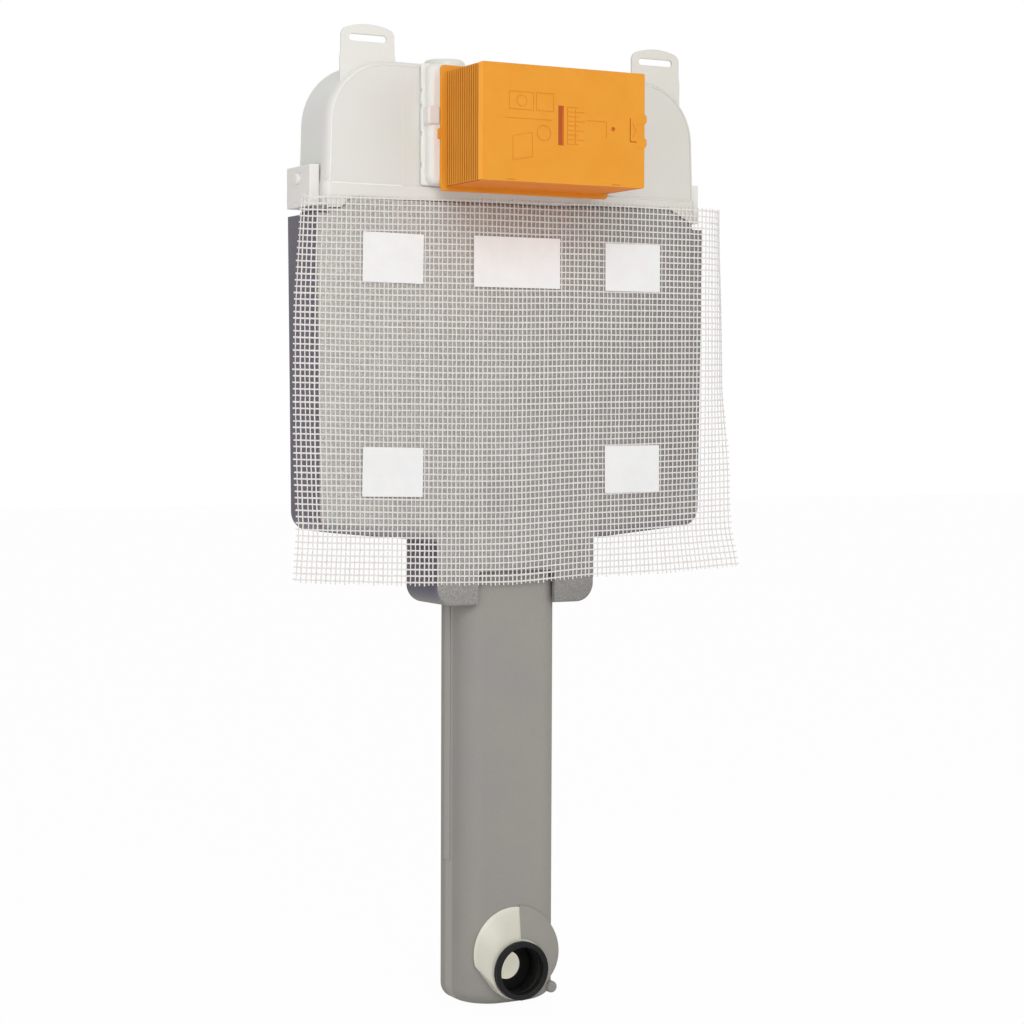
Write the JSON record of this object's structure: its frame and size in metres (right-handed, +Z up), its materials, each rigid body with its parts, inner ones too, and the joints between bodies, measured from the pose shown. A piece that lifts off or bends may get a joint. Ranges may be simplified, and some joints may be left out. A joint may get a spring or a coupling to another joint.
{
  "type": "concealed toilet cistern",
  "caption": "Slim concealed toilet cistern for masonry: milky tank in a foam jacket with plaster net, lidded service box, insulated flush pipe and outlet bend with lip seal.",
  "frame": {"origin": "midway between the centres of the two hanging slots, in the middle plane of the hangers", "axes": "+Z up when hung, front towards -Y with the service box and the outlet, +X to the right seen from the front"},
  "size_m": [0.455, 0.158, 0.9252],
  "materials": {
    "translucent_plastic": "natural milky polyethylene, slightly see-through, satin",
    "white_plastic": "moulded white polypropylene, satin",
    "orange_plastic": "moulded orange polypropylene, fine satin grain",
    "yellow_plastic": "moulded pale yellow plastic, satin",
    "blue_plastic": "moulded pale blue plastic, satin",
    "cream_plastic": "cream polyethylene, smooth",
    "white_pipe": "white polyethylene pipe, smooth",
    "speckled_foam": "moulded grey bead foam with visible beads, matt",
    "smooth_foam": "fine-celled warm grey foam, matt",
    "black_rubber": "moulded black rubber, satin",
    "grey_rubber": "cut grey sheet rubber, matt",
    "brass": "turned brass, satin",
    "steel": "drawn stainless steel wire, satin",
    "steel_braid": "fine stainless braid",
    "net_glass_fibre": "open white coated glass-fibre net, stiff",
    "white_tape": "white adhesive pads, matt, slightly see-through"
  },
  "bodies": {
    "cistern": {"tank_shell": "translucent_plastic", "service_frame": "white_plastic", "frame_gasket": "grey_rubber", "left_clip": "white_plastic", "right_clip": "white_plastic", "jacket_front": "speckled_foam", "jacket_back": "speckled_foam", "spare_inlet_cap": "translucent_plastic", "protective_box": "orange_plastic", "splash_guard": "white_plastic", "lever_bridge": "white_plastic", "lever_pin": "steel", "inlet_nipple": "brass", "inlet_locknut": "brass", "inlet_washer": "black_rubber", "stop_valve": "brass", "supply_hose": "steel_braid", "fill_valve_body": "white_plastic", "fill_valve_bracket": "white_plastic", "float_lever_pin": "steel", "valve_cage": "white_plastic", "valve_base": "white_plastic", "base_gasket": "black_rubber", "outlet_nut": "white_plastic", "flush_pipe": "white_pipe", "flush_bend": "cream_plastic", "outlet_seal": "black_rubber", "flow_restrictor": "black_rubber", "pipe_cover_front": "smooth_foam", "pipe_cover_back": "smooth_foam", "cover_strips": "smooth_foam", "plaster_net": "net_glass_fibre", "tape_pads": "white_tape", "plain_label": "white_tape"},
    "lid": {"box_lid": "orange_plastic"},
    "full_lifter": {"overflow_tube": "blue_plastic", "flush_seal": "black_rubber"},
    "half_lifter": {"half_float": "blue_plastic"},
    "full_rocker": {"full_lever": "white_plastic"},
    "half_rocker": {"half_lever": "white_plastic"},
    "full_pin": {"full_push_pin": "yellow_plastic"},
    "half_pin": {"half_push_pin": "yellow_plastic"},
    "float": {"float_cup": "white_plastic"},
    "valve_rocker": {"float_lever": "white_plastic"},
    "knob": {"stop_knob": "orange_plastic"}
  },
  "joints": [
    {"name": "lid_slide", "type": "slide", "parent": "cistern", "child": "lid", "axis": [0, -1, 0], "range_m": [0, 0.06]},
    {"name": "full_lift", "type": "slide", "parent": "cistern", "child": "full_lifter", "axis": [0, 0, 1], "range_m": [0, 0.014]},
    {"name": "full_rocker_turn", "type": "hinge", "parent": "cistern", "child": "full_rocker", "pos_m": [0.016, 0.002, -0.062], "axis": [1, 0, 0], "range_deg": [0, 28.7]},
    {"name": "full_pin_push", "type": "slide", "parent": "cistern", "child": "full_pin", "axis": [0, 1, 0], "range_m": [0, 0.0073]},
    {"name": "half_lift", "type": "slide", "parent": "cistern", "child": "half_lifter", "axis": [0, 0, 1], "range_m": [0, 0.008]},
    {"name": "half_rocker_turn", "type": "hinge", "parent": "cistern", "child": "half_rocker", "pos_m": [-0.016, 0.002, -0.062], "axis": [1, 0, 0], "range_deg": [0, 16.4]},
    {"name": "half_pin_push", "type": "slide", "parent": "cistern", "child": "half_pin", "axis": [0, 1, 0], "range_m": [0, 0.0042]},
    {"name": "float_rise", "type": "slide", "parent": "cistern", "child": "float", "axis": [0, 0, 1], "range_m": [0, 0.012]},
    {"name": "float_lever_turn", "type": "hinge", "parent": "cistern", "child": "valve_rocker", "pos_m": [-0.121, 0.028, -0.0475], "axis": [0, 1, 0], "range_deg": [0, 26.5]},
    {"name": "stop_valve_turn", "type": "hinge", "parent": "cistern", "child": "knob", "pos_m": [0.062, 0.013, -0.0405], "axis": [0, -1, 0], "range_deg": [0, 90]}
  ],
  "couplings": [
    {"joint": "full_rocker_turn", "follows": "full_lift", "rad_per_m": 35.714},
    {"joint": "full_pin_push", "follows": "full_lift", "ratio": 0.5143},
    {"joint": "half_rocker_turn", "follows": "half_lift", "rad_per_m": 35.714},
    {"joint": "half_pin_push", "follows": "half_lift", "ratio": 0.5143},
    {"joint": "float_lever_turn", "follows": "float_rise", "rad_per_m": 38.46}
  ]
}
